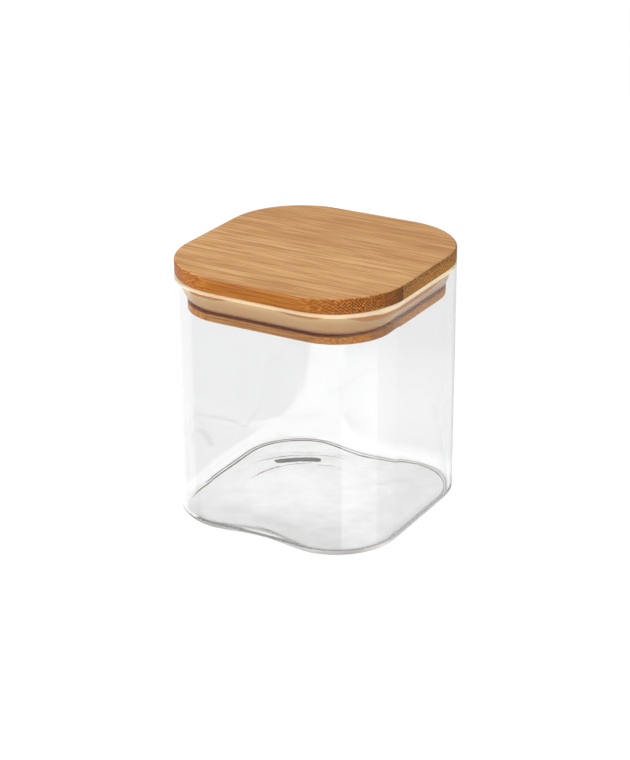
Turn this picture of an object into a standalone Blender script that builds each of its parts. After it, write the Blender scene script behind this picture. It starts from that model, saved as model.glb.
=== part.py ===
"""Square glass storage jar with a bamboo lid and a silicone seal.

The jar stands on its foot at z = 0, centred on the Z axis. The grain of the lid runs along X,
and the heel of the glass draws inwards at the middle of the front (-Y) and back (+Y) sides.
"""

import math

import bmesh
import bpy
from mathutils import Matrix, Vector

MM = 0.001

# Glass jar
GLASS_WIDTH = 98.2 * MM
GLASS_CORNER_RADIUS = 28.4 * MM
GLASS_HEIGHT = 102.6 * MM
WALL = 1.8 * MM
FLOOR_THICKNESS = 1.8 * MM
HEEL_RADIUS = 3.3 * MM
HEEL_DRAW_IN = 3.6 * MM
HEEL_DRAW_HALF_LENGTH = 25.0 * MM
RECESS_RADIUS = 31.3 * MM
RECESS_DEPTH = 0.6 * MM
RECESS_EDGE_WIDTH = 2.0 * MM

# Bamboo lid
BOARD_OVERHANG = 0.9 * MM
BOARD_CORNER_RADIUS = 32.0 * MM
BOARD_THICKNESS = 6.2 * MM
BOARD_TOP_ROUNDING = 0.9 * MM
BOARD_BOTTOM_ROUNDING = 0.8 * MM
PLUG_DEPTH = 14.1 * MM
PLUG_GAP = 3.3 * MM
FLANGE_HEIGHT = 3.3 * MM
FLANGE_ROUNDING = 0.5 * MM
SHOULDER_HEIGHT = 3.6 * MM
SHOULDER_INSET = 1.0 * MM
GROOVE_INSET = 3.2 * MM

# Silicone seal
LIP_THICKNESS = 0.8 * MM
LIP_TOP_DEPTH = 2.0 * MM
LIP_ROOT_ROUNDING = 0.3 * MM
UNDERCUT_HEIGHT = 1.1 * MM
UNDERCUT_WIDTH = 1.6 * MM

# Clearance between pieces that touch
CONTACT_GAP = 0.3 * MM

# Steps along the rounded outlines
CORNER_STEPS = 12
SIDE_STEPS = 10
ARC_STEPS = 5
SHARP_ANGLE = math.radians(35)


class Outline:
    """A rounded square seen from above, as points that match from one height to the next."""

    def __init__(self, half_width, corner_radius):
        self.half_width = half_width
        self.corner_radius = corner_radius

    def inset(self, distance):
        return Outline(self.half_width - distance, self.corner_radius - distance)

    def points(self):
        """The outline's points, counter-clockwise from the -Y end of the straight +X side."""
        reach = self.half_width - self.corner_radius
        side = []
        for step in range(SIDE_STEPS):
            side.append(Vector((self.half_width, reach * (2 * step / SIDE_STEPS - 1), 0)))
        corner = []
        for step in range(CORNER_STEPS):
            angle = math.pi / 2 * step / CORNER_STEPS
            corner.append(Vector((reach + self.corner_radius * math.cos(angle),
                                  reach + self.corner_radius * math.sin(angle), 0)))
        quarter = side + corner
        return [Matrix.Rotation(math.pi / 2 * turn, 3, "Z") @ point for turn in range(4) for point in quarter]


def clear_scene():
    for obj in list(bpy.data.objects):
        bpy.data.objects.remove(obj, do_unlink=True)


def make_material(name, color, roughness, metallic=0.0, transmission=0.0, ior=1.5):
    material = bpy.data.materials.new(name)
    material.use_nodes = True
    shader = material.node_tree.nodes["Principled BSDF"]
    shader.inputs["Base Color"].default_value = (*color, 1)
    shader.inputs["Roughness"].default_value = roughness
    shader.inputs["Metallic"].default_value = metallic
    shader.inputs["Transmission Weight"].default_value = transmission
    shader.inputs["IOR"].default_value = ior
    return material


def skin_loops(bm, loops, closed_ring=False):
    """Joins each loop of points to the next with quads.

    A closed ring joins its last loop to its first. Any other shape gets a flat cap at both ends.
    """
    rows = [[bm.verts.new(point) for point in points] for points in loops]
    following = rows[1:] + rows[:1] if closed_ring else rows[1:]
    for row, next_row in zip(rows, following):
        for index in range(len(row)):
            bm.faces.new((row[index - 1], row[index], next_row[index], next_row[index - 1]))
    if not closed_ring:
        bm.faces.new(rows[0])
        bm.faces.new(rows[-1])


def finish_object(bm, name, material):
    bmesh.ops.recalc_face_normals(bm, faces=bm.faces)
    mesh = bpy.data.meshes.new(name)
    bm.to_mesh(mesh)
    bm.free()
    mesh.shade_smooth()
    mesh.set_sharp_from_angle(angle=SHARP_ANGLE)
    mesh.materials.append(material)
    obj = bpy.data.objects.new(name, mesh)
    bpy.context.scene.collection.objects.link(obj)
    return obj


def arc_angles(steps=ARC_STEPS):
    return [math.pi / 2 * step / steps for step in range(steps + 1)]


def at_height(points, height):
    return [Vector((point.x, point.y, height)) for point in points]


def heel_radius_at(point):
    """The heel's radius at a point of the wall: larger where the front and back sides draw in."""
    if abs(point.x) >= HEEL_DRAW_HALF_LENGTH:
        return HEEL_RADIUS
    return HEEL_RADIUS + HEEL_DRAW_IN * math.cos(math.pi / 2 * point.x / HEEL_DRAW_HALF_LENGTH) ** 2


def heel_loop(wall_points, wall_inset, floor_height, angle):
    """The heel's loop at an angle from the wall (0) to the floor (a quarter turn).

    The inside of the heel has a radius smaller by the wall's inset, which keeps the glass even round it.
    """
    loop = []
    for index, point in enumerate(wall_points):
        along = wall_points[(index + 1) % len(wall_points)] - wall_points[index - 1]
        inwards = Vector((-along.y, along.x, 0)).normalized()
        radius = heel_radius_at(point) - wall_inset
        moved = point + inwards * radius * (1 - math.cos(angle))
        loop.append(Vector((moved.x, moved.y, floor_height + radius * (1 - math.sin(angle)))))
    return loop


def recess_loops(wall_points):
    """Circles up the smooth edge of the round recess under the base."""
    loops = []
    for step in range(ARC_STEPS + 1):
        share = step / ARC_STEPS
        radius = RECESS_RADIUS - RECESS_EDGE_WIDTH * share
        height = RECESS_DEPTH * share * share * (3 - 2 * share)
        loops.append([Vector((*(point.xy.normalized() * radius), height)) for point in wall_points])
    return loops


def build_glass_jar():
    """One wall of glass: out under the base, up outside, over the rim, down inside and over the floor."""
    outside = Outline(GLASS_WIDTH / 2, GLASS_CORNER_RADIUS)
    outer_points = outside.points()
    inner_points = outside.inset(WALL).points()
    rim_radius = WALL / 2
    bm = bmesh.new()

    outer_heel = [heel_loop(outer_points, 0, 0, angle) for angle in arc_angles()]
    inner_heel = [heel_loop(inner_points, WALL, FLOOR_THICKNESS, angle) for angle in arc_angles()]
    rim = []
    for step in range(2 * ARC_STEPS + 1):
        angle = math.pi * step / (2 * ARC_STEPS)
        line = outside.inset(rim_radius * (1 - math.cos(angle)))
        rim.append(at_height(line.points(), GLASS_HEIGHT - rim_radius * (1 - math.sin(angle))))

    loops = recess_loops(outer_points)[::-1] + outer_heel[::-1] + rim + inner_heel
    skin_loops(bm, loops)
    glass = make_material("clear_glass", (0.95, 0.97, 0.96), 0.02, transmission=1.0, ior=1.47)
    return finish_object(bm, "glass_jar", glass)


def board_underside():
    return GLASS_HEIGHT + CONTACT_GAP


def rounded_slab(bm, outline, bottom, top, bottom_rounding, top_rounding):
    """A closed plate with rounded edges at its bottom and top."""
    loops = []
    for angle in arc_angles()[::-1]:
        line = outline.inset(bottom_rounding * (1 - math.cos(angle)))
        loops.append(at_height(line.points(), bottom + bottom_rounding * (1 - math.sin(angle))))
    for angle in arc_angles():
        line = outline.inset(top_rounding * (1 - math.cos(angle)))
        loops.append(at_height(line.points(), top - top_rounding * (1 - math.sin(angle))))
    skin_loops(bm, loops)


def build_lid_board():
    bm = bmesh.new()
    outline = Outline(GLASS_WIDTH / 2 + BOARD_OVERHANG, BOARD_CORNER_RADIUS)
    bottom = board_underside()
    rounded_slab(bm, outline, bottom, bottom + BOARD_THICKNESS, BOARD_BOTTOM_ROUNDING, BOARD_TOP_ROUNDING)
    bamboo = make_material("bamboo_board", (0.61, 0.34, 0.15), 0.5)
    return finish_object(bm, "lid_board", bamboo)


def flange_outline():
    """The plug's widest outline, set in from the glass by the plug's gap."""
    return Outline(GLASS_WIDTH / 2, GLASS_CORNER_RADIUS).inset(WALL + PLUG_GAP)


def flange_top():
    return board_underside() - PLUG_DEPTH + FLANGE_HEIGHT


def shoulder_bottom():
    return board_underside() - SHOULDER_HEIGHT


def build_lid_plug():
    """A flange, a groove above it and a shoulder that meets the board."""
    flange = flange_outline()
    groove = flange.inset(GROOVE_INSET)
    shoulder = flange.inset(SHOULDER_INSET)
    bottom = board_underside() - PLUG_DEPTH
    loops = []
    for angle in arc_angles()[::-1]:
        line = flange.inset(FLANGE_ROUNDING * (1 - math.cos(angle)))
        loops.append(at_height(line.points(), bottom + FLANGE_ROUNDING * (1 - math.sin(angle))))
    loops.append(at_height(flange.points(), flange_top()))
    loops.append(at_height(groove.points(), flange_top()))
    loops.append(at_height(groove.points(), shoulder_bottom()))
    loops.append(at_height(shoulder.points(), shoulder_bottom()))
    loops.append(at_height(shoulder.points(), board_underside() - CONTACT_GAP))
    bm = bmesh.new()
    skin_loops(bm, loops)
    bamboo = make_material("bamboo_plug", (0.52, 0.29, 0.13), 0.55)
    return finish_object(bm, "lid_plug", bamboo)


def build_seal_ring():
    """A band in the plug's groove with a conical lip that flares up against the glass."""
    flange = flange_outline()
    band_inner = flange.inset(GROOVE_INSET - CONTACT_GAP)
    glass_inside = Outline(GLASS_WIDTH / 2, GLASS_CORNER_RADIUS).inset(WALL)
    lip_outer = glass_inside.inset(CONTACT_GAP)
    lip_inner = lip_outer.inset(LIP_THICKNESS)
    band_bottom = flange_top() + CONTACT_GAP
    band_top = shoulder_bottom() - CONTACT_GAP
    lip_top = board_underside() - LIP_TOP_DEPTH
    crotch = flange.inset(LIP_THICKNESS)
    loops = [
        at_height(band_inner.points(), band_bottom),
        at_height(flange.inset(UNDERCUT_WIDTH).points(), band_bottom),
        at_height(flange.inset(LIP_ROOT_ROUNDING).points(), band_bottom + UNDERCUT_HEIGHT),
        at_height(flange.points(), band_bottom + UNDERCUT_HEIGHT + LIP_ROOT_ROUNDING),
        at_height(lip_outer.points(), lip_top - LIP_THICKNESS / 2),
        at_height(lip_outer.inset(LIP_THICKNESS / 2).points(), lip_top),
        at_height(lip_inner.points(), lip_top - LIP_THICKNESS / 2),
        at_height(crotch.points(), band_top),
        at_height(band_inner.points(), band_top),
    ]
    bm = bmesh.new()
    skin_loops(bm, loops, closed_ring=True)
    silicone = make_material("clear_silicone", (0.80, 0.70, 0.58), 0.3, transmission=0.5, ior=1.41)
    return finish_object(bm, "seal_ring", silicone)


def main():
    clear_scene()
    build_glass_jar()
    build_lid_board()
    build_lid_plug()
    build_seal_ring()


main()
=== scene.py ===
import math
import bmesh
import bpy
from mathutils import Matrix, Quaternion, Vector, noise


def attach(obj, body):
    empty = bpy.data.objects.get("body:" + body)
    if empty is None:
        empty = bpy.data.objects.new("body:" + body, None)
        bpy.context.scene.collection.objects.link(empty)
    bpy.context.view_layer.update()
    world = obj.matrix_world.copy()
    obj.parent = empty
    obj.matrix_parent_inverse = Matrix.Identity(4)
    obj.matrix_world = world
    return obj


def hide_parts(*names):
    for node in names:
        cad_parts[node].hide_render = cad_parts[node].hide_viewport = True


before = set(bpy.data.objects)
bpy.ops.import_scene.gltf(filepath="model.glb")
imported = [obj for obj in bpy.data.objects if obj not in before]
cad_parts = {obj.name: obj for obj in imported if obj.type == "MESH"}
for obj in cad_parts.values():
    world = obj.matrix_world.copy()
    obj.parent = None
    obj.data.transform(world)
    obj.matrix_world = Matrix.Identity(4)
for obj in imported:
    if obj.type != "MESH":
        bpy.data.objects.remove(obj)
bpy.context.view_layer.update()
mm = 0.001
scene = bpy.context.scene
print("frame loaded:", ", ".join(sorted(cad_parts)))

# Camera, at the angle the photograph was taken from
view = {
    "azimuth": 30.157,
    "elevation": 23.029,
    "distance": 868.3 * mm,
    "aimHeight": 53.0 * mm,
    "slideRight": -0.868 * mm,
    "slideUp": -0.663 * mm,
    "lens": 100.32,
    "roll": -0.3,
    "sensor": 36.0,
}


def makeCamera():
    azimuth, elevation = math.radians(view["azimuth"]), math.radians(view["elevation"])
    back = Vector((math.sin(azimuth) * math.cos(elevation), -math.cos(azimuth) * math.cos(elevation),
                   math.sin(elevation)))
    right = Vector((math.cos(azimuth), math.sin(azimuth), 0))
    up = back.cross(right)
    data = bpy.data.cameras.new("photo_camera")
    data.lens = view["lens"]
    data.sensor_width = view["sensor"]
    camera = bpy.data.objects.new("photo_camera", data)
    scene.collection.objects.link(camera)
    camera.rotation_mode = "QUATERNION"
    level = (-back).to_track_quat("-Z", "Y")
    camera.rotation_quaternion = level @ Quaternion((0, 0, 1), math.radians(view["roll"]))
    aim = Vector((0, 0, view["aimHeight"]))
    camera.location = aim + back * view["distance"] + right * view["slideRight"] + up * view["slideUp"]
    scene.camera = camera


makeCamera()
print("camera set")

# Outlines: a rounded square with a fixed number of points round it, so that loops match
ring = {
    "sidePoints": 14,
    "cornerPoints": 26,
    "quarterTurn": math.pi / 2,
    "sameSpot": 0.0005 * mm,
}
loopPoints = 4 * (ring["sidePoints"] + ring["cornerPoints"])


def outlinePoint(turn, halfWidth, corner):
    step = turn * loopPoints
    perQuarter = loopPoints / 4
    quarter = int(step // perQuarter)
    along = step - quarter * perQuarter
    reach = halfWidth - corner
    if along <= ring["sidePoints"]:
        point = Vector((halfWidth, reach * (2 * along / ring["sidePoints"] - 1), 0))
    else:
        angle = ring["quarterTurn"] * (along - ring["sidePoints"]) / ring["cornerPoints"]
        point = Vector((reach + corner * math.cos(angle), reach + corner * math.sin(angle), 0))
    return Matrix.Rotation(ring["quarterTurn"] * quarter, 3, "Z") @ point


def outlineNormal(turn):
    step = turn * loopPoints
    perQuarter = loopPoints / 4
    quarter = int(step // perQuarter)
    along = max(step - quarter * perQuarter - ring["sidePoints"], 0)
    angle = ring["quarterTurn"] * (along / ring["cornerPoints"] + quarter)
    return Vector((math.cos(angle), math.sin(angle), 0))


def mix(low, high, share):
    return low + (high - low) * share


def smooth(share):
    share = min(max(share, 0), 1)
    return share * share * (3 - 2 * share)


def settleOrder(bm):
    # extruding makes edges and faces in an order that changes from run to run, so both are sorted
    bm.verts.index_update()
    for parts in (bm.edges, bm.faces):
        inOrder = sorted(parts, key=lambda part: sorted(vert.index for vert in part.verts))
        for index, part in enumerate(inOrder):
            part.index = index
        parts.sort()


def sweep(loops, capEnds=True):
    # extrudes a circle's edge from loop to loop; each vertex keeps its share of the turn
    bm = bmesh.new()
    turnLayer = bm.verts.layers.float.new("turn")
    start = bmesh.ops.create_circle(bm, cap_ends=False, segments=loopPoints, radius=1)
    for index, vert in enumerate(start["verts"]):
        vert[turnLayer] = index / loopPoints
        vert.co = loops[0](index / loopPoints)
    firstEdges = list(bm.edges)
    edges = firstEdges
    for place in loops[1:]:
        grown = bmesh.ops.extrude_edge_only(bm, edges=edges)["geom"]
        edges = [part for part in grown if isinstance(part, bmesh.types.BMEdge)]
        for vert in (part for part in grown if isinstance(part, bmesh.types.BMVert)):
            vert.co = place(int(vert[turnLayer] * loopPoints + 0.5) / loopPoints)
    if capEnds:
        for ends in (firstEdges, edges):
            bmesh.ops.contextual_create(bm, geom=ends)
    else:
        bmesh.ops.remove_doubles(bm, verts=bm.verts, dist=ring["sameSpot"])
    settleOrder(bm)
    bmesh.ops.recalc_face_normals(bm, faces=bm.faces)
    return bm


def finishPiece(bm, name, material, body, node):
    mesh = bpy.data.meshes.new(name)
    bm.to_mesh(mesh)
    bm.free()
    mesh.shade_smooth()
    mesh.materials.append(material)
    piece = bpy.data.objects.new(name, mesh)
    scene.collection.objects.link(piece)
    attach(piece, body)
    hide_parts(node)
    return piece


def addNode(tree, kind, inputs=None, **settings):
    node = tree.nodes.new(kind)
    for key, value in settings.items():
        setattr(node, key, value)
    for key, value in (inputs or {}).items():
        socket = node.inputs[key]
        if isinstance(value, bpy.types.NodeSocket):
            tree.links.new(value, socket)
        else:
            socket.default_value = value
    return node


def addMath(tree, operation, first, second=0.0):
    return addNode(tree, "ShaderNodeMath", {0: first, 1: second}, operation=operation).outputs[0]


def plus(tree, first, second):
    return addMath(tree, "ADD", first, second)


def minus(tree, first, second):
    return addMath(tree, "SUBTRACT", first, second)


def times(tree, first, second):
    return addMath(tree, "MULTIPLY", first, second)


def objectPlace(tree):
    # X, Y and Z in the piece's own coordinates
    coords = addNode(tree, "ShaderNodeTexCoord")
    return addNode(tree, "ShaderNodeSeparateXYZ", {0: coords.outputs["Object"]}).outputs


def addRamp(tree, value, stops, interpolation="LINEAR"):
    node = addNode(tree, "ShaderNodeValToRGB", {"Fac": value})
    ramp = node.color_ramp
    ramp.interpolation = interpolation
    while len(ramp.elements) < len(stops):
        ramp.elements.new(1.0)
    for element, (place, color) in zip(ramp.elements, stops):
        element.position = place
        element.color = (*color, 1)
    return node.outputs["Color"]


def grey(value):
    return (value, value, value)


def addGreyRamp(tree, value, stops, interpolation="LINEAR"):
    return addRamp(tree, value, [(place, grey(shade)) for place, shade in stops], interpolation)


def remap(tree, value, low, high, newLow=0.0, newHigh=1.0):
    node = addNode(tree, "ShaderNodeMapRange", {
        "Value": value, "From Min": low, "From Max": high, "To Min": newLow, "To Max": newHigh})
    return node.outputs[0]


def mixColor(tree, share, first, second, blend="MIX"):
    node = addNode(tree, "ShaderNodeMix", data_type="RGBA", blend_type=blend)
    for index, value in ((0, share), (6, first), (7, second)):
        socket = node.inputs[index]
        if isinstance(value, bpy.types.NodeSocket):
            tree.links.new(value, socket)
        else:
            socket.default_value = (*value, 1) if isinstance(value, tuple) else value
    return node.outputs[2]


def newMaterial(name):
    material = bpy.data.materials.new(name)
    material.use_nodes = True
    tree = material.node_tree
    return material, tree, tree.nodes["Principled BSDF"]


# Glass jar
glass = {
    "halfWidth": 49.1 * mm,
    "corner": 28.4 * mm,
    "height": 102.6 * mm,
    "wall": 1.8 * mm,
    "floor": 1.8 * mm,
    "heel": 3.3 * mm,
    "drawIn": 3.6 * mm,
    "drawHalfLength": 25.0 * mm,
    "footWidth": 1.6 * mm,
    "footRise": 0.25 * mm,
    "footSteps": 10,
    "crossSteps": 8,
    "middleSteps": 9,
    "bandOuter": 41.0 * mm,
    "bandInner": 15.0 * mm,
    "bandSteps": 52,
    "rampRadius": 32.0 * mm,
    "rampWidth": 4.4 * mm,
    "rampSlope": 0.035,
    "foldSlope": 0.03,
    "foldTurn": 134.6,  # middle of the fold's arc, in degrees from +X
    "foldHalf": 16.5,
    "foldTaper": 4,
    "foldWidth": 4.4 * mm,
    "foldOut": 1.6 * mm,
    "foldDrift": 0.1 * mm,  # outwards with each degree
    "foldFade": 9 * mm,
    "foldTop": 1.0 * mm,
    "arcSteps": 14,
    # band of painted shade round the foot: heights, dip and lean of its top, and its steps
    "shadedBandHigh": 2.9 * mm,
    "shadedBandLow": 0.25 * mm,
    "shadedBandDip": 1.5 * mm,
    "shadedBandRight": 1.6,
    "shadedBandFront": 1.2,
    "shadedBandSteps": 10,
    "heelNormals": (-0.985, -0.1),
    "clearCornerX": -31 * mm,
    "clearCornerY": -16 * mm,
    "wallShares": (0.004, 0.015, 0.04, 0.1, 0.2, 0.32, 0.44, 0.56, 0.68, 0.8, 0.9, 0.96, 0.98,
                   0.9885, 0.991, 0.9935, 0.996, 0.998),
    "rimBand": 1.3 * mm,
    "rimBandRight": 1.9 * mm,
    "rimGrowFrom": 45 * mm,
    "rimGrowLength": 2.3 * mm,
    "wallWave": 0.018 * mm,
    "wallWaves": 45,
    "wallWaveStretch": 0.3,
    "floorWave": 0.15 * mm,
    "floorWaves": 95,
    "floorWaveStart": 3 * mm,
    "floorRipple": 0.4,
    "floorRippleScale": 2.3,
    "color": (0.925, 0.929, 0.927),
    "ior": 1.47,
    # milky colour and painted glow of the lip, standing in for light carried up the wall
    "rimColor": (1.0, 0.86, 0.62),
    "rimRoughness": 0.3,
    "rimTransmission": 0.6,
    "rimGlow": [(0.0, (0.05, 0.038, 0.02)), (1.0, (0.15, 0.17, 0.14))],
    "rimGlowFrom": 25 * mm,
    "rimGlowTo": 49 * mm,
    # grey, part-clear glass that paints shade on the foot and in the fold
    "shadedRoughness": 0.3,
    "shadedTransmission": 0.3,
    # greys of the painted shade on the foot, darkest at the left and the back
    "footShades": [(0.16, 0.2), (0.2, 0.42), (0.36, 0.5), (0.5, 0.7),
                   (0.77, 0.68), (0.92, 0.55), (0.97, 0.98)],
    "footShadeFrom": -60 * mm,
    "footShadeTo": 50 * mm,
    "footBackFrom": 25 * mm,
    "footBackPull": 2.0,
    # grey of the painted dark bar in the fold
    "foldShade": 0.15,
    # pressed ripples under the base: radius, drift per degree, middle and half of the arc, height, width
    "ripples": [
        (26.8 * mm, 0.04 * mm, 137, 44, 0.140 * mm, 0.8 * mm),
        (29.2 * mm, 0.04 * mm, 152, 34, 0.140 * mm, 0.9 * mm),
        (37.2 * mm, 0.08 * mm, 132, 40, 0.110 * mm, 0.7 * mm),
        (39.8 * mm, 0.09 * mm, 128, 36, 0.090 * mm, 0.7 * mm),
        (19.0 * mm, 0.03 * mm, -70, 45, 0.040 * mm, 0.7 * mm),
        (22.5 * mm, 0.05 * mm, -100, 25, 0.030 * mm, 0.7 * mm),
    ],
}


def heelRadius(x):
    if abs(x) >= glass["drawHalfLength"]:
        return glass["heel"]
    return glass["heel"] + glass["drawIn"] * math.cos(math.pi / 2 * x / glass["drawHalfLength"]) ** 2


def footCenter(turn):
    # centre of the heel's arc, and its radius, at a share of the turn
    outer = outlinePoint(turn, glass["halfWidth"], glass["corner"])
    radius = heelRadius(outer.x)
    return outer - outlineNormal(turn) * radius + Vector((0, 0, radius)), radius


def shadedBandTop(turn):
    # height of the band of painted shade round the foot, higher on the front and the right
    normal, radius = outlineNormal(turn), footCenter(turn)[1]
    share = smooth(glass["shadedBandRight"] * normal.x - glass["shadedBandFront"] * normal.y)
    top = mix(glass["shadedBandLow"], glass["shadedBandHigh"], share)
    return top - (radius - glass["heel"]) / glass["drawIn"] * share * glass["shadedBandDip"]


def heelPlace(inset, step):
    # steps count down the heel; one of them always lies at the top of the band of painted shade
    def place(turn):
        center, radius = footCenter(turn)
        split = math.asin(1 - shadedBandTop(turn) / radius)
        clearSteps = glass["arcSteps"] - glass["shadedBandSteps"]
        if step <= clearSteps:
            angle = split * step / clearSteps
        else:
            angle = mix(split, math.pi / 2, (step - clearSteps) / glass["shadedBandSteps"])
        outwards = outlineNormal(turn) * math.cos(angle) - Vector((0, 0, math.sin(angle)))
        return center + outwards * (radius - inset)
    return place


def wallPlace(inset, share):
    def place(turn):
        center, radius = footCenter(turn)
        normal = outlineNormal(turn)
        point = center + normal * (radius - inset)
        if inset > 0:
            height = mix(center.z, glass["height"], share) * glass["wallWaveStretch"]
            spot = Vector((point.x, point.y, height)) * glass["wallWaves"]
            wave = noise.noise(spot) * glass["wallWave"]
            # the wave fades out over the lowest and the highest quarter
            point += normal * wave * smooth(4 * share) * smooth(4 - 4 * share)
        point.z = mix(center.z, glass["height"] - glass["wall"] / 2, share)
        return point
    return place


def rimPlace(angle):
    def place(turn):
        radius = glass["wall"] / 2
        point = outlinePoint(turn, glass["halfWidth"], glass["corner"])
        point -= outlineNormal(turn) * radius * (1 - math.cos(angle))
        point.z = glass["height"] - radius * (1 - math.sin(angle))
        return point
    return place


def foldReach(x, y):
    # how far a point lies inside the outer edge of the fold in the base, and the fold's width there
    radius, turn = math.hypot(x, y), math.degrees(math.atan2(y, x))
    away = (turn - glass["foldTurn"] + 180) % 360 - 180
    share = max(abs(away) - glass["foldHalf"] + glass["foldTaper"], 0) / glass["foldTaper"]
    if share >= 1:
        return 0, 0
    width = glass["foldWidth"] * math.sqrt(1 - share * share)
    middle = glass["rampRadius"] + glass["foldOut"] + glass["foldDrift"] * away
    return middle + width / 2 - radius, width


def underRise(footDistance, x, y):
    radius, turn = math.hypot(x, y), math.degrees(math.atan2(y, x))
    rise = glass["footRise"] * smooth(footDistance / glass["footWidth"])
    upRamp = glass["rampRadius"] + glass["rampWidth"] / 2 - radius
    rise += glass["rampSlope"] * min(max(upRamp, 0), glass["rampWidth"])
    reach, width = foldReach(x, y)
    if width > 0:
        rise += glass["foldSlope"] * min(max(reach, 0), width)
        rise -= glass["foldSlope"] * width * smooth((reach - width) / glass["foldFade"])
    for middle, drift, ripTurn, half, height, width in glass["ripples"]:
        away = (turn - ripTurn + 180) % 360 - 180
        share = (radius - middle - drift * away) / width
        if abs(share) < 3 and abs(away) < half:
            # a bell across, and faded out over the last third of each end
            rise += height * math.exp(-share * share) * smooth(3 * (1 - abs(away) / half))
    return rise


def floorPlace(level, footDistance, share, radius):
    # first inwards from the heel, then across to a circle, then in towards the middle
    def place(turn):
        center = footCenter(turn)[0]
        foot = center - outlineNormal(turn) * footDistance
        circle = foot.copy()
        circle.z = 0
        circle = circle.normalized() * radius
        point = foot.lerp(circle, share)
        if level > 0:
            spot = Vector((point.x, point.y, 0)) * glass["floorWaves"]
            ripple = noise.noise(spot * glass["floorRippleScale"])
            wave = noise.noise(spot) + glass["floorRipple"] * ripple
            fade = smooth(footDistance / glass["floorWaveStart"] + share)
            point.z = level + wave * glass["floorWave"] * fade
        else:
            point.z = underRise(footDistance, point.x, point.y)
        return point
    return place


def floorPlaces(level):
    foot, outer, inner = glass["footWidth"], glass["bandOuter"], glass["bandInner"]
    footSteps, crossSteps = glass["footSteps"], glass["crossSteps"]
    bandSteps, middleSteps = glass["bandSteps"], glass["middleSteps"]
    places = [floorPlace(level, foot * step / footSteps, 0, outer) for step in range(1, footSteps + 1)]
    places += [floorPlace(level, foot, step / crossSteps, outer) for step in range(1, crossSteps + 1)]
    for step in range(1, bandSteps + 1):
        places.append(floorPlace(level, foot, 1, mix(outer, inner, step / bandSteps)))
    for step in range(1, middleSteps):
        places.append(floorPlace(level, foot, 1, inner * (1 - step / middleSteps)))
    return places


def makeGlassMaterial():
    material, _, shader = newMaterial("clear_glass")
    shader.inputs["Base Color"].default_value = (*glass["color"], 1)
    shader.inputs["Roughness"].default_value = 0.0
    shader.inputs["IOR"].default_value = glass["ior"]
    shader.inputs["Transmission Weight"].default_value = 1.0
    return material


def makeRimMaterial():
    # the fire-polished lip gathers light from the wall below it; that light is painted in as a milky colour
    # and a glow, stronger towards +X
    material, tree, shader = newMaterial("glass_rim")
    shader.inputs["Base Color"].default_value = (*glass["rimColor"], 1)
    shader.inputs["Roughness"].default_value = glass["rimRoughness"]
    shader.inputs["IOR"].default_value = glass["ior"]
    shader.inputs["Transmission Weight"].default_value = glass["rimTransmission"]
    side = remap(tree, objectPlace(tree)["X"], glass["rimGlowFrom"], glass["rimGlowTo"])
    tree.links.new(addRamp(tree, side, glass["rimGlow"]), shader.inputs["Emission Color"])
    shader.inputs["Emission Strength"].default_value = 1.0
    return material


# grey, part-clear glass for painted shade
def makeShadedGlassMaterial(name):
    material, tree, shader = newMaterial(name)
    shader.inputs["Base Color"].default_value = (*grey(glass["foldShade"]), 1)
    shader.inputs["Roughness"].default_value = glass["shadedRoughness"]
    shader.inputs["IOR"].default_value = glass["ior"]
    shader.inputs["Transmission Weight"].default_value = glass["shadedTransmission"]
    return material, tree, shader


def makeFootMaterial():
    # painted shade on the heel: grey glass, darkest at the back and the left
    material, tree, shader = makeShadedGlassMaterial("glass_foot_painted_shade")
    place = objectPlace(tree)
    pastBack = addMath(tree, "MAXIMUM", minus(tree, place["Y"], glass["footBackFrom"]), 0.0)
    side = minus(tree, place["X"], times(tree, pastBack, glass["footBackPull"]))
    share = remap(tree, side, glass["footShadeFrom"], glass["footShadeTo"])
    tree.links.new(addGreyRamp(tree, share, glass["footShades"]), shader.inputs["Base Color"])
    return material


def jarSlot(face, turnLayer):
    # the look of one face: 0 clear, 1 milky rim with painted glow, 2 foot with painted shade, 3 fold in the
    # base with painted shade
    center = face.calc_center_median()
    grow = smooth((center.x - glass["rimGrowFrom"]) / glass["rimGrowLength"])
    if center.z > glass["height"] - mix(glass["rimBand"], glass["rimBandRight"], grow):
        return 1
    level = sum(shadedBandTop(vert[turnLayer]) for vert in face.verts) / len(face.verts)
    flattest, steepest = glass["heelNormals"]
    if center.z < level and flattest < face.normal.z < steepest:
        # the foot's painted shade is left off the left corner
        inClearCorner = center.x < glass["clearCornerX"] and center.y < glass["clearCornerY"]
        return 0 if inClearCorner else 2
    # faces of the fold get grey glass: a painted dark bar
    reach, width = foldReach(center.x, center.y)
    if center.z < glass["foldTop"] and face.normal.z < steepest and 0 < reach < width:
        return 3
    return 0


def makeGlassJar():
    wall = glass["wall"]
    heelSteps = range(glass["arcSteps"] + 1)
    places = floorPlaces(0)[::-1]
    places += [heelPlace(0, step) for step in heelSteps[::-1]]
    places += [wallPlace(0, share) for share in glass["wallShares"]]
    places += [rimPlace(math.pi * step / glass["arcSteps"]) for step in range(glass["arcSteps"] + 1)]
    places += [wallPlace(wall, share) for share in glass["wallShares"][::-1]]
    places += [heelPlace(wall, step) for step in heelSteps]
    places += floorPlaces(glass["floor"])
    bm = sweep(places)
    turnLayer = bm.verts.layers.float["turn"]
    for face in bm.faces:
        face.material_index = jarSlot(face, turnLayer)
    jar = finishPiece(bm, "jar_glass", makeGlassMaterial(), "jar", "glass_jar")
    for material in (makeRimMaterial(), makeFootMaterial(), makeShadedGlassMaterial("glass_fold_painted_shade")[0]):
        jar.data.materials.append(material)


makeGlassJar()
print("glass jar made")

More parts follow.
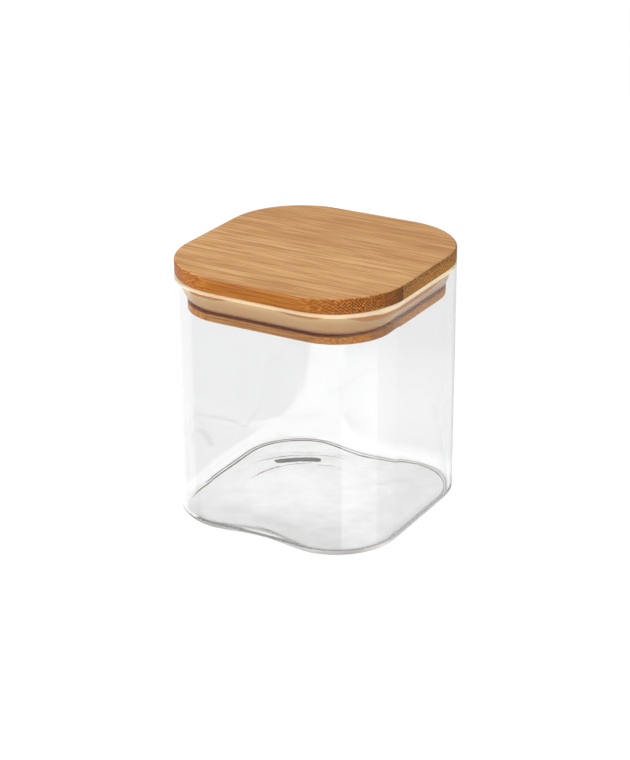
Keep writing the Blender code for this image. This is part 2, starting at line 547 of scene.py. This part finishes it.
# Bamboo: fibre bundles run along X, so one pattern gives streaks on the faces and dots on the end grain.
# Soft edges are written as from, to and, where they aren't 0 and 1, the values there
bamboo = {
    "bundlesAcross": 1.05 * mm,
    "bundlesUp": 1.3 * mm,
    "bundleRandomness": 0.4,
    "bundleCore": 0.55,
    "innerCrowding": 0.68,
    "coreReach": 0.36,
    "skinReach": 0.56,
    "skinByHeight": 0.75,
    "skinOuter": 0.95,
    "uprightEdge": (0.6, 0.95, 1.0, 0.0),
    "seamEdge": (0.45, 1.0),
    "endGrainEdge": (0.1, 0.85),
    "skinStrength": (0.0, 1.0, 0.3, 1.0),
    "sideStrength": (0.0, 0.8, 0.5, 1.0),
    "stripWidth": 25.0 * mm,
    "stripShift": 17 * mm,
    "stripRange": (-2.0, 3.0),
    "stripTones": [(0.0, 0.5), (0.15, 0.45), (0.35, 0.51), (0.55, 0.33), (0.75, 0.22)],
    "grainStretch": 0.02,
    "grainRoughness": 0.6,
    "fineScale": 1800,
    "middleScale": 600,
    "wideScale": 130,
    "fineWeight": 1.25,
    "middleWeight": 0.2,
    "wideWeight": 0.2,
    "toneEdge": (0.73, 0.92),
    "roughness": (0.2, 0.8, 0.42, 0.6),
    "fineRelief": 0.7,
    "bundleRelief": 0.4,
    "bumpStrength": 0.3,
    "bumpHeight": 0.05 * mm,
}


def bambooStrips(tree, place, seam):
    # which glued strip a point lies in, and how far across it
    steps = addMath(tree, "DIVIDE", minus(tree, place["Y"], seam), bamboo["stripWidth"])
    index = addMath(tree, "MAXIMUM", addMath(tree, "FLOOR", steps), -1.0)
    return steps, index, minus(tree, steps, index)


def bambooStreaks(tree, place, shiftedHeight):
    # fine, middle and wide streaks along the fibres
    grainPlace = addNode(tree, "ShaderNodeCombineXYZ", {
        "X": times(tree, place["X"], bamboo["grainStretch"]), "Y": place["Y"], "Z": shiftedHeight})
    streaks = []
    for size, detail in (("fineScale", 3), ("middleScale", 2), ("wideScale", 2)):
        streak = addNode(tree, "ShaderNodeTexNoise", {
            "Vector": grainPlace.outputs[0], "Scale": bamboo[size], "Detail": detail,
            "Roughness": bamboo["grainRoughness"]})
        streaks.append(streak.outputs["Fac"])
    return streaks


def bambooBundles(tree, place, shiftedHeight, outerStrip, skin):
    # bundles sit in a lattice; they are crowded near the skin of a strip and sparse near its core
    lattice = (math.sqrt(2) / bamboo["bundlesAcross"], math.sqrt(2) / bamboo["bundlesUp"], 1.0)
    endPlace = addNode(tree, "ShaderNodeCombineXYZ", {"X": place["Y"], "Y": shiftedHeight})
    bundlePlace = addNode(tree, "ShaderNodeMapping", {
        "Vector": endPlace.outputs[0], "Scale": lattice, "Rotation": (0, 0, math.pi / 4)})
    crowding = remap(tree, outerStrip, 0.0, 1.0, bamboo["innerCrowding"], 1.0)
    cells = addNode(tree, "ShaderNodeTexVoronoi", {
        "Vector": bundlePlace.outputs[0], "Scale": crowding, "Randomness": bamboo["bundleRandomness"],
    }, feature="F1", voronoi_dimensions="2D")
    reach = remap(tree, skin, 0.0, 1.0, bamboo["coreReach"], bamboo["skinReach"])
    bundle = addNode(tree, "ShaderNodeMapRange", {
        "Value": cells.outputs["Distance"], "From Min": reach,
        "From Max": times(tree, reach, bamboo["bundleCore"]),
    }, interpolation_type="SMOOTHSTEP")
    return bundle.outputs[0]


def bambooGround(tree, streaks, stripIndex, shape):
    # the streaked wood between the bundles, a little different in each strip
    fine, middle, wide = streaks
    tone = times(tree, fine, bamboo["fineWeight"])
    tone = plus(tree, tone, times(tree, middle, bamboo["middleWeight"]))
    tone = plus(tree, tone, times(tree, wide, bamboo["wideWeight"]))
    tone = remap(tree, tone, *bamboo["toneEdge"])
    stripShare = remap(tree, stripIndex, *bamboo["stripRange"])
    stripTone = addGreyRamp(tree, stripShare, bamboo["stripTones"], "CONSTANT")
    tone = plus(tree, tone, minus(tree, stripTone, 0.5))
    return addRamp(tree, tone, [(0.0, shape["dark"]), (0.5, shape["middle"]), (1.0, shape["light"])])


def recessShade(tree, place, shape):
    # the shaded foot of the groove, which fades towards +X
    low, high = shape["recessLow"], shape["recessHigh"]
    shade = times(tree, remap(tree, place["Z"], low, low + shape["recessRise"]),
                  remap(tree, place["Z"], high, high - shape["recessFall"]))
    least = shape["recessLeast"]
    fade = remap(tree, place["X"], shape["recessFadeEnd"], shape["recessFadeStart"], least, 1.0)
    return times(tree, shade, fade)


def makeBamboo(name, shape):
    material, tree, shader = newMaterial(name)
    coords = addNode(tree, "ShaderNodeTexCoord")
    place = addNode(tree, "ShaderNodeSeparateXYZ", {0: coords.outputs["Object"]}).outputs
    facing = addNode(tree, "ShaderNodeSeparateXYZ", {0: coords.outputs["Normal"]}).outputs
    endGrain = addMath(tree, "ABSOLUTE", facing["X"])
    upright = remap(tree, addMath(tree, "ABSOLUTE", facing["Z"]), *bamboo["uprightEdge"])
    steps, stripIndex, across = bambooStrips(tree, place, shape["seam"])
    shiftedHeight = plus(tree, place["Z"], times(tree, stripIndex, bamboo["stripShift"]))
    streaks = bambooStreaks(tree, place, shiftedHeight)
    height = remap(tree, place["Z"], shape["coreLevel"], shape["skinLevel"])
    outerStrip = addMath(tree, "LESS_THAN", stripIndex, 0.0)
    skin = addMath(tree, "MAXIMUM", times(tree, height, bamboo["skinByHeight"]),
                   times(tree, outerStrip, bamboo["skinOuter"]))
    bundle = bambooBundles(tree, place, shiftedHeight, outerStrip, skin)

    ground = bambooGround(tree, streaks, stripIndex, shape)
    ground = mixColor(tree, upright, ground, shape["side"], "MULTIPLY")
    endTint = mixColor(tree, outerStrip, shape["end"], shape["outerEnd"])
    endShade = times(tree, endGrain, upright)
    ground = mixColor(tree, endShade, ground, endTint, "MULTIPLY")
    if "seamEnd" in shape:
        nearSeam = times(tree, outerStrip, remap(tree, across, *bamboo["seamEdge"]))
        ground = mixColor(tree, times(tree, nearSeam, endShade), ground, shape["seamEnd"], "MULTIPLY")
    pastSeam = remap(tree, steps, shape["pastNone"], shape["pastFull"])
    pastSeam = times(tree, pastSeam, minus(tree, 1.0, outerStrip))
    ground = mixColor(tree, times(tree, pastSeam, endShade), ground, shape["pastSeam"], "MULTIPLY")
    if "recess" in shape:
        ground = mixColor(tree, recessShade(tree, place, shape), ground, shape["recess"], "MULTIPLY")

    strength = remap(tree, endGrain, *bamboo["endGrainEdge"], shape["streakStrength"], shape["dotStrength"])
    strength = times(tree, strength, remap(tree, skin, *bamboo["skinStrength"]))
    strength = times(tree, strength, remap(tree, upright, *bamboo["sideStrength"]))
    color = mixColor(tree, times(tree, bundle, strength), ground, shape["bundle"], "MULTIPLY")
    tree.links.new(color, shader.inputs["Base Color"])
    tree.links.new(remap(tree, streaks[0], *bamboo["roughness"]), shader.inputs["Roughness"])
    relief = minus(tree, times(tree, streaks[0], bamboo["fineRelief"]),
                   times(tree, bundle, bamboo["bundleRelief"]))
    bump = addNode(tree, "ShaderNodeBump", {
        "Height": relief, "Strength": bamboo["bumpStrength"], "Distance": bamboo["bumpHeight"]})
    tree.links.new(bump.outputs["Normal"], shader.inputs["Normal"])
    shader.inputs["Specular IOR Level"].default_value = shape["sheen"]
    return material


# Lid board
board = {
    "halfWidth": 50.0 * mm,
    "corner": 32.0 * mm,
    "thickness": 6.2 * mm,
    "topRounding": 0.9 * mm,
    "bottomRounding": 0.8 * mm,
    "seam": -20.2 * mm,
    "arcSteps": 8,
    "sideShares": (0.05, 0.35, 0.65, 0.95),
    "light": (0.81, 0.478, 0.2),
    "middle": (0.69, 0.357, 0.123),
    "dark": (0.54, 0.238, 0.066),
    "side": (0.555, 0.345, 0.074),
    "end": (1.33, 1.75, 3.2),
    "outerEnd": (1.6, 1.58, 1.0),
    "seamEnd": (0.45, 0.43, 0.4),
    "pastSeam": (0.85, 0.85, 0.85),
    "pastNone": 0.55,
    "pastFull": 0.2,
    "bundle": (0.12, 0.07, 0.04),
    "streakStrength": 0.2,
    "dotStrength": 1.0,
    "sheen": 0.35,
    "coreLevel": 101.0 * mm,
    "skinLevel": 109.0 * mm,
}
restGap = 0.3 * mm
underBoard = glass["height"] + restGap


def slabPlace(halfWidth, corner, inset, height):
    def place(turn):
        point = outlinePoint(turn, halfWidth - inset, corner - inset)
        point.z = height
        return point
    return place


def roundedEdge(shape, level, rounding, upwards):
    # an arc of loops from the slab's side to its flat face
    places = []
    direction = 1 if upwards else -1
    for step in range(shape["arcSteps"] + 1):
        angle = math.pi / 2 * step / shape["arcSteps"]
        inset = rounding * (1 - math.cos(angle))
        places.append(slabPlace(shape["halfWidth"], shape["corner"], inset,
                                level - direction * rounding * (1 - math.sin(angle))))
    # two loops on the flat face keep its shading flat
    for inset in (rounding * 1.1, rounding * 2):
        places.append(slabPlace(shape["halfWidth"], shape["corner"], inset, level))
    return places if upwards else places[::-1]


def makeLidBoard():
    top = underBoard + board["thickness"]
    low, high = underBoard + board["bottomRounding"], top - board["topRounding"]
    places = roundedEdge(board, underBoard, board["bottomRounding"], False)
    for share in board["sideShares"]:
        places.append(slabPlace(board["halfWidth"], board["corner"], 0, mix(low, high, share)))
    places += roundedEdge(board, top, board["topRounding"], True)
    material = makeBamboo("bamboo_board", board)
    finishPiece(sweep(places), "lid_top_board", material, "lid", "lid_board")


makeLidBoard()
print("lid board made")

# Lid plug
plug = {
    "halfWidth": 44.0 * mm,
    "corner": 23.3 * mm,
    "depth": 14.1 * mm,
    "flange": 3.3 * mm,
    "rounding": 0.5 * mm,
    "shoulderHeight": 3.6 * mm,
    "shoulderInset": 1.0 * mm,
    "grooveInset": 3.2 * mm,
    "edgeBreak": 0.15 * mm,
    "seam": -31.6 * mm,
    "arcSteps": 6,
    "light": (0.95, 0.62, 0.3),
    "middle": (0.82, 0.48, 0.2),
    "dark": (0.6, 0.31, 0.11),
    "side": (0.78, 0.57, 0.33),
    "end": (1.6, 1.5, 0.85),
    "outerEnd": (1.75, 1.5, 0.35),
    "pastSeam": (0.6, 0.55, 0.55),
    "pastNone": 0.9,
    "pastFull": 0.5,
    "bundle": (0.5, 0.38, 0.26),
    "recess": (0.42, 0.2, 0.02),
    "recessLow": 91.75 * mm,
    "recessRise": 0.2 * mm,
    "recessHigh": 95.0 * mm,
    "recessFall": 0.4 * mm,
    "recessFadeStart": 30 * mm,
    "recessFadeEnd": 43 * mm,
    "recessLeast": 0.1,
    "streakStrength": 0.3,
    "dotStrength": 0.7,
    "sheen": 0.2,
    "coreLevel": 88.0 * mm,
    "skinLevel": 94.0 * mm,
}
flangeTop = underBoard - plug["depth"] + plug["flange"]
shoulderFoot = underBoard - plug["shoulderHeight"]


def makeLidPlug():
    edge, groove, shoulder = plug["edgeBreak"], plug["grooveInset"], plug["shoulderInset"]
    top = underBoard - restGap
    # inset and height up the plug's side, with a small chamfer at each edge
    stations = [
        (0, flangeTop - 2 * edge), (0, flangeTop - edge), (edge, flangeTop), (2 * edge, flangeTop),
        (groove - edge, flangeTop), (groove, flangeTop), (groove, flangeTop + edge),
        (groove, shoulderFoot - edge), (groove, shoulderFoot), (groove - edge, shoulderFoot),
        (shoulder + 2 * edge, shoulderFoot), (shoulder + edge, shoulderFoot),
        (shoulder, shoulderFoot + edge), (shoulder, shoulderFoot + 2 * edge),
        (shoulder, top - edge), (shoulder, top), (shoulder + edge, top),
    ]
    places = roundedEdge(plug, underBoard - plug["depth"], plug["rounding"], False)
    places += [slabPlace(plug["halfWidth"], plug["corner"], inset, height) for inset, height in stations]
    material = makeBamboo("bamboo_plug", plug)
    finishPiece(sweep(places), "lid_plug_block", material, "lid", "lid_plug")


makeLidPlug()
print("lid plug made")

# Silicone seal: its lip is soft, so its top edge dips where the fit is tight
seal = {
    "lip": 0.8 * mm,
    "lipTopDepth": 1.7 * mm,
    "rootRounding": 0.3 * mm,
    "undercutHeight": 1.1 * mm,
    "undercutWidth": 1.6 * mm,
    "crotchShare": 0.4,
    "coneSteps": 8,
    "coneBend": 0.8,
    "dipSteepness": 2.2,
    "sharpAngle": 50,
    "troughDrop": 0.3 * mm,
    "troughReach": 0.1 * mm,
    # dips of the lip: middle and half length as shares of a turn, depth
    "dips": [
        (0.9975, 0.1025, 2.4 * mm),
        (0.18, 0.07, 1.3 * mm),
        (0.42, 0.13, 1.5 * mm),
        (0.736, 0.038, 1.5 * mm),
        (0.842, 0.032, 1.3 * mm),
    ],
    "colors": [(0.0, (0.8, 0.455, 0.21)), (0.45, (0.93, 0.575, 0.27)), (1.0, (1.0, 0.73, 0.42))],
    # painted glow near the top of the lip, standing for light scattered in the silicone
    "glow": [(0.55, (0, 0, 0)), (0.95, (0.13, 0.085, 0.02))],
    "roughness": 0.3,
    "ior": 1.41,
    "transmission": 0.12,
    # inner side of the lip above its crotch: colour, and a painted glow that lifts its shade
    "troughColor": (0.9, 0.55, 0.25),
    "troughRoughness": 0.4,
    "troughGlow": (0.75, 0.43, 0.15),
    "troughGlowStrength": 0.22,
}
lipInset = -(glass["halfWidth"] - glass["wall"] - restGap - plug["halfWidth"])
lipTop = underBoard - seal["lipTopDepth"]
bandBottom = flangeTop + restGap
bandTop = shoulderFoot - restGap
rootHeight = bandBottom + seal["undercutHeight"] + seal["rootRounding"]
crotch = mix(rootHeight, bandTop, seal["crotchShare"])


def lipDip(turn):
    dip = 0
    for middle, half, depth in seal["dips"]:
        away = abs((turn - middle + 0.5) % 1 - 0.5)
        dip += depth * smooth(seal["dipSteepness"] * (1 - away / half))
    return dip


def ringPlace(inset, height, dipShare=0):
    def place(turn):
        point = outlinePoint(turn, plug["halfWidth"] - inset, plug["corner"] - inset)
        point.z = height - lipDip(turn) * dipShare
        return point
    return place


def conePlaces(inset, foot, shares):
    # one face of the flared lip, between its foot and its top
    places = []
    for share in shares:
        bent = share ** seal["coneBend"]
        height = mix(foot, lipTop - seal["lip"] / 2, share)
        places.append(ringPlace(mix(inset, lipInset + inset, bent), height, share))
    return places


def makeTroughMaterial():
    # clear silicone against the plug takes on the wood's colour; a painted glow lifts this shaded inner
    # side of the lip
    material, _, shader = newMaterial("silicone_trough")
    shader.inputs["Base Color"].default_value = (*seal["troughColor"], 1)
    shader.inputs["Roughness"].default_value = seal["troughRoughness"]
    shader.inputs["Emission Color"].default_value = (*seal["troughGlow"], 1)
    shader.inputs["Emission Strength"].default_value = seal["troughGlowStrength"]
    return material


def makeSiliconeMaterial():
    # honey-coloured at the root and paler towards the top of the lip, with a painted glow near the top that
    # stands for light scattered in the silicone
    material, tree, shader = newMaterial("clear_silicone")
    share = remap(tree, objectPlace(tree)["Z"], rootHeight, lipTop)
    tree.links.new(addRamp(tree, share, seal["colors"]), shader.inputs["Base Color"])
    tree.links.new(addRamp(tree, share, seal["glow"]), shader.inputs["Emission Color"])
    shader.inputs["Emission Strength"].default_value = 1.0
    shader.inputs["Roughness"].default_value = seal["roughness"]
    shader.inputs["IOR"].default_value = seal["ior"]
    shader.inputs["Transmission Weight"].default_value = seal["transmission"]
    return material


def makeSealRing():
    bandInner = plug["grooveInset"] - restGap
    lip = seal["lip"]
    shares = [step / seal["coneSteps"] for step in range(seal["coneSteps"] + 1)]
    places = [
        ringPlace(bandInner, bandBottom),
        ringPlace(seal["undercutWidth"], bandBottom),
        ringPlace(seal["rootRounding"], bandBottom + seal["undercutHeight"]),
    ]
    places += conePlaces(0, rootHeight, shares)
    places.append(ringPlace(lipInset + lip / 2, lipTop, 1))
    places += conePlaces(lip, crotch, reversed(shares))
    places += [
        ringPlace(lip + seal["rootRounding"], bandTop),
        ringPlace(bandInner, bandTop),
        ringPlace(bandInner, bandBottom),
    ]
    bm = sweep(places, capEnds=False)
    straight = plug["halfWidth"] - plug["corner"]
    for face in bm.faces:
        spot = face.calc_center_median()
        radius = math.hypot(max(abs(spot.x) - straight, 0), max(abs(spot.y) - straight, 0))
        # the inner side above the crotch gets the trough material with its painted glow
        if spot.z > crotch - seal["troughDrop"] and radius - plug["corner"] < seal["troughReach"]:
            face.material_index = 1
    piece = finishPiece(bm, "seal_lip_ring", makeSiliconeMaterial(), "lid", "seal_ring")
    piece.data.set_sharp_from_angle(angle=math.radians(seal["sharpAngle"]))
    piece.data.materials.append(makeTroughMaterial())


makeSealRing()
print("seal made")

# Studio: a pale floor, a sky that stands for the room, and one softbox
studio = {
    "floorSize": 8.0,
    "floorDrop": 0.1 * mm,
    "floorGlow": 0.96,
    "floorTint": 0.08,
    "floorRoughness": 0.9,
    "topPlace": (-0.32, -0.45, 0.85),
    "topAim": (0, 0, 0.08),
    "topPower": 5.5,
    "topSize": 0.7,
    "bounces": 64,
}
# light patches on the floor, as soft edges: from, to and, where they aren't 0 and 1, the values there
floorLight = {
    "jarEdge": (46 * mm, 48 * mm),
    "spillLeft": (-58.5 * mm, -56.5 * mm),
    "spillBack": (66 * mm, 56 * mm),
    "spillFront": (0.0, 12.0),
    "spillStrength": 0.15,
    "tongueLean": 0.51,
    "tongueShift": 4.7 * mm,
    "tongueStart": 60 * mm,
    "tongueGrowth": 13 * mm,
    "tongueFlare": 12 * mm,
    "tongueHalf": 10.5 * mm,
    "tongueEdge": (-1.5 * mm, 1.5 * mm),
    "tongueFoot": (40 * mm, 56 * mm),
    "rightEdge": (10.0, 30.0, 0.0, 0.07),
    "rightBack": (170.0, 80.0),
    "middlePlace": (-14.0, 6.0, 0.0),
    "middleEdge": (48.0, 14.0, 0.0, 0.19),
    "rearEdge": (37.0, 43.0, 0.0, 0.1),
    "cloudScale": 85.0,
    "cloudDetail": 3.0,
    "cloudEdge": (0.3, 0.7, -0.06, 0.06),
    "contactBow": 0.2,
    "contactInner": (-5.0 * mm, 0.0),
    "contactOuter": (0.95 * mm, 0.65 * mm),
    "contactFront": (5.0, -15.0, 0.0, 0.25),
    "shadeFrom": 46 * mm,
    "shadeNear": (3 * mm, 12 * mm),
    "shadeFar": (24 * mm, 15 * mm),
    "shadeSides": (42 * mm, 30 * mm, 0.0, 0.08),
}


def lightSpill(tree, place, along):
    # light close round the foot, and a tongue of it that runs away from the far left corner
    nearFoot = times(tree, remap(tree, place["X"], *floorLight["spillLeft"]),
                     remap(tree, place["Y"], *floorLight["spillBack"]))
    nearFoot = times(tree, nearFoot, remap(tree, along, *floorLight["spillFront"]))
    lean = plus(tree, place["X"], times(tree, place["Y"], floorLight["tongueLean"]))
    offLine = addMath(tree, "ABSOLUTE", plus(tree, lean, floorLight["tongueShift"]))
    drawn = minus(tree, floorLight["tongueStart"], place["Y"])
    drawn = addMath(tree, "DIVIDE", drawn, floorLight["tongueGrowth"])
    flare = times(tree, addMath(tree, "EXPONENT", drawn), floorLight["tongueFlare"])
    inside = minus(tree, plus(tree, flare, floorLight["tongueHalf"]), offLine)
    tongue = times(tree, remap(tree, inside, *floorLight["tongueEdge"]),
                   remap(tree, place["Y"], *floorLight["tongueFoot"]))
    return times(tree, addMath(tree, "MAXIMUM", nearFoot, tongue), floorLight["spillStrength"])


def lightUnderJar(tree, coords, turned, along):
    # brighter in the middle and at the back, and cloudy
    middle = addNode(tree, "ShaderNodeVectorMath", {
        0: turned, 1: floorLight["middlePlace"]}, operation="DISTANCE").outputs["Value"]
    cloud = addNode(tree, "ShaderNodeTexNoise", {
        "Vector": coords, "Scale": floorLight["cloudScale"],
        "Detail": floorLight["cloudDetail"]}).outputs["Fac"]
    under = plus(tree, remap(tree, middle, *floorLight["middleEdge"]),
                 remap(tree, along, *floorLight["rearEdge"]))
    return plus(tree, under, remap(tree, cloud, *floorLight["cloudEdge"]))


def contactShade(tree, place, reachX, reachY, along):
    # shade where the foot meets the floor on the near side, and a wide soft one further in
    bow = remap(tree, place["X"], -glass["drawHalfLength"], glass["drawHalfLength"], -math.pi, math.pi)
    bow = times(tree, plus(tree, addMath(tree, "COSINE", bow), 1.0), glass["drawIn"] / 2)
    flat = glass["halfWidth"] - glass["corner"]
    pastX = addMath(tree, "MAXIMUM", minus(tree, reachX, flat), 0.0)
    pastY = addMath(tree, "MAXIMUM", minus(tree, plus(tree, reachY, bow), flat), 0.0)
    past = addMath(tree, "SQRT", plus(tree, times(tree, pastX, pastX), times(tree, pastY, pastY)))
    past = minus(tree, past, glass["corner"] - glass["heel"])
    edge = minus(tree, past, times(tree, bow, floorLight["contactBow"]))
    contact = times(tree, remap(tree, past, *floorLight["contactInner"]),
                    remap(tree, edge, *floorLight["contactOuter"]))
    contact = times(tree, contact, remap(tree, along, *floorLight["contactFront"]))
    inward = plus(tree, place["Y"], floorLight["shadeFrom"])
    wide = times(tree, remap(tree, inward, *floorLight["shadeNear"]),
                 remap(tree, inward, *floorLight["shadeFar"]))
    wide = times(tree, wide, remap(tree, reachX, *floorLight["shadeSides"]))
    return plus(tree, contact, wide)


def makeFloorMaterial():
    material, tree, shader = newMaterial("pale_floor")
    coords = addNode(tree, "ShaderNodeTexCoord").outputs["Object"]
    # millimetres across and along, turned by the azimuth of the view
    turned = addNode(tree, "ShaderNodeMapping", {
        "Vector": coords, "Rotation": (0, 0, -math.radians(view["azimuth"])),
        "Scale": (1 / mm, 1 / mm, 1)}).outputs[0]
    across, along = addNode(tree, "ShaderNodeSeparateXYZ", {0: turned}).outputs[:2]
    place = addNode(tree, "ShaderNodeSeparateXYZ", {0: coords}).outputs
    reachX = addMath(tree, "ABSOLUTE", place["X"])
    reachY = addMath(tree, "ABSOLUTE", place["Y"])
    beside = remap(tree, addMath(tree, "MAXIMUM", reachX, reachY), *floorLight["jarEdge"])
    right = times(tree, remap(tree, across, *floorLight["rightEdge"]),
                  remap(tree, along, *floorLight["rightBack"]))
    outside = times(tree, plus(tree, lightSpill(tree, place, along), right), beside)
    under = times(tree, lightUnderJar(tree, coords, turned, along), minus(tree, 1.0, beside))
    glow = minus(tree, plus(tree, outside, under), contactShade(tree, place, reachX, reachY, along))
    tree.links.new(plus(tree, glow, studio["floorGlow"]), shader.inputs["Emission Strength"])
    shader.inputs["Base Color"].default_value = (*grey(studio["floorTint"]), 1)
    shader.inputs["Roughness"].default_value = studio["floorRoughness"]
    shader.inputs["Specular IOR Level"].default_value = 0.0
    shader.inputs["Emission Color"].default_value = (1, 1, 1, 1)
    return material


def makeFloor():
    bm = bmesh.new()
    bmesh.ops.create_grid(bm, x_segments=1, y_segments=1, size=studio["floorSize"] / 2)
    bmesh.ops.translate(bm, verts=bm.verts, vec=(0, 0, -studio["floorDrop"]))
    mesh = bpy.data.meshes.new("floor")
    bm.to_mesh(mesh)
    bm.free()
    mesh.materials.append(makeFloorMaterial())
    floor = bpy.data.objects.new("floor", mesh)
    scene.collection.objects.link(floor)
    floor.visible_glossy = False


# brightness round the sky, counted from the back by way of the left, the front and the right
sky = {
    "backdrop": [(0.0, 0.85), (0.28, 0.85), (0.34, 1.9), (0.62, 1.9), (0.7, 0.85), (1.0, 0.85)],
    "ceiling": [(0.0, 0.12), (0.3, 0.12), (0.4, 0.8), (0.55, 0.8), (0.65, 0.12), (1.0, 0.12)],
    "band": [(0.0, 0.35), (0.083, 0.65), (0.13, 1.1), (0.3, 1.25), (0.322, 0.05), (0.6, 0.05),
             (0.612, 2.4), (0.77, 2.3), (0.78, 1.0), (0.9, 0.6), (1.0, 0.35)],
    "ground": 0.25,
    "bandDip": 0.39,
    "bandHalf": 0.13,
    "bandSoftness": 0.06,
    "shelfFrom": 0.6,
    "shelfEdge": (-0.383, -0.373),
    "backdropTop": 0.42,
    "backdropSoftness": 0.1,
    "horizon": (-0.03, 0.03),
}


def makeSky():
    world = bpy.data.worlds.new("studio_sky")
    world.use_nodes = True
    scene.world = world
    tree = world.node_tree
    coords = addNode(tree, "ShaderNodeTexCoord")
    direction = addNode(tree, "ShaderNodeSeparateXYZ", {0: coords.outputs["Generated"]}).outputs
    height = direction["Z"]
    turn = addMath(tree, "ARCTAN2", direction["X"], times(tree, direction["Y"], -1.0))
    share = plus(tree, addMath(tree, "DIVIDE", turn, 2 * math.pi), 0.5)
    backdrop = addGreyRamp(tree, share, sky["backdrop"])
    ceiling = addGreyRamp(tree, share, sky["ceiling"])
    band = addGreyRamp(tree, share, sky["band"])
    shelf = times(tree, addMath(tree, "GREATER_THAN", share, sky["shelfFrom"]),
                  remap(tree, height, *sky["shelfEdge"]))
    band = mixColor(tree, shelf, band, grey(sky["ground"]))
    fromBand = addMath(tree, "ABSOLUTE", plus(tree, height, sky["bandDip"]))
    pastBand = remap(tree, fromBand, sky["bandHalf"], sky["bandHalf"] + sky["bandSoftness"])
    lower = mixColor(tree, pastBand, band, grey(sky["ground"]))
    overBackdrop = remap(tree, height, sky["backdropTop"], sky["backdropTop"] + sky["backdropSoftness"])
    upper = mixColor(tree, overBackdrop, backdrop, ceiling)
    both = mixColor(tree, remap(tree, height, *sky["horizon"]), lower, upper)
    tree.links.new(both, tree.nodes["Background"].inputs["Color"])


def addSoftbox(name, place, aim, size, power):
    data = bpy.data.lights.new(name, "AREA")
    data.size = size
    data.energy = power
    lamp = bpy.data.objects.new(name, data)
    scene.collection.objects.link(lamp)
    lamp.location = place
    lamp.rotation_euler = (Vector(aim) - Vector(place)).to_track_quat("-Z", "Y").to_euler()


def makeStudio():
    makeFloor()
    makeSky()
    addSoftbox("top_softbox", studio["topPlace"], studio["topAim"], studio["topSize"], studio["topPower"])
    scene.view_settings.view_transform = "Standard"
    scene.cycles.max_bounces = studio["bounces"]
    scene.cycles.transmission_bounces = studio["bounces"]
    scene.cycles.glossy_bounces = studio["bounces"]


makeStudio()
print("studio set")
